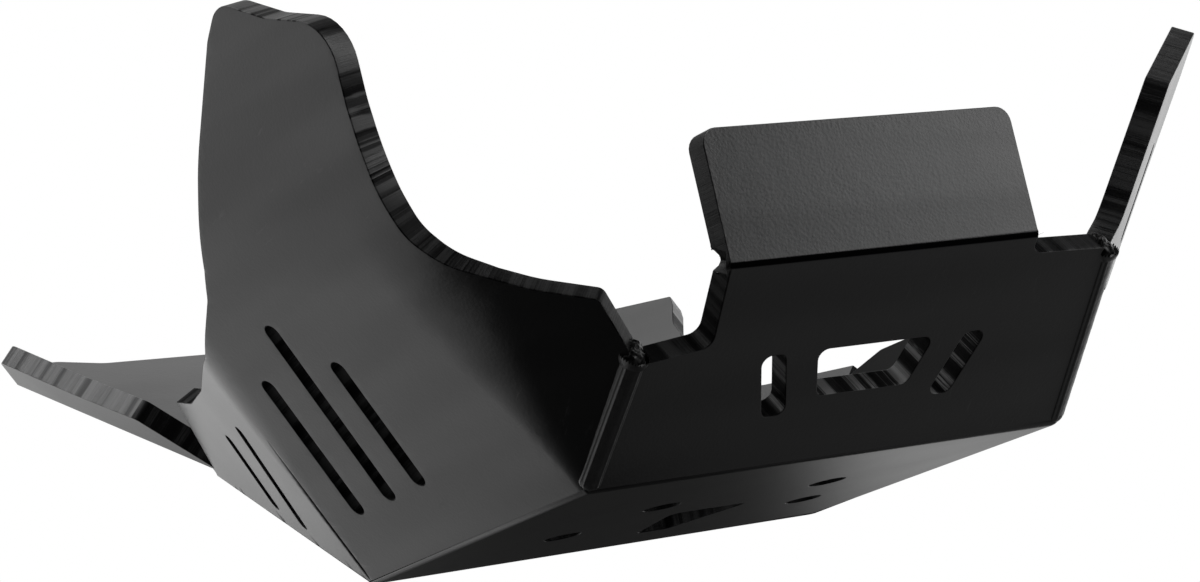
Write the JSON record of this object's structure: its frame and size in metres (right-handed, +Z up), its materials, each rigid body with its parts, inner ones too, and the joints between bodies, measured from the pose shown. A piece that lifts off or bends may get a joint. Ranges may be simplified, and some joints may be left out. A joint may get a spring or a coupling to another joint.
{
  "type": "motorcycle skid plate",
  "caption": "Folded plastic skid plate with slotted side wings, a vented front panel with a back-turned tab, and a rising flanged tail",
  "frame": {"origin": "middle of the front fold, on the outer face of the floor panel", "axes": "+Z up out of the floor panel, +Y rearward towards the tail, -Y towards the front wheel, +X to the right of someone who faces the front panel"},
  "size_m": [0.3541, 0.4112, 0.1575],
  "materials": {
    "sheet": "smooth black polyethylene with a soft sheen and milled edges"
  },
  "bodies": {
    "root": {"skid_plate": "sheet"}
  },
  "joints": []
}
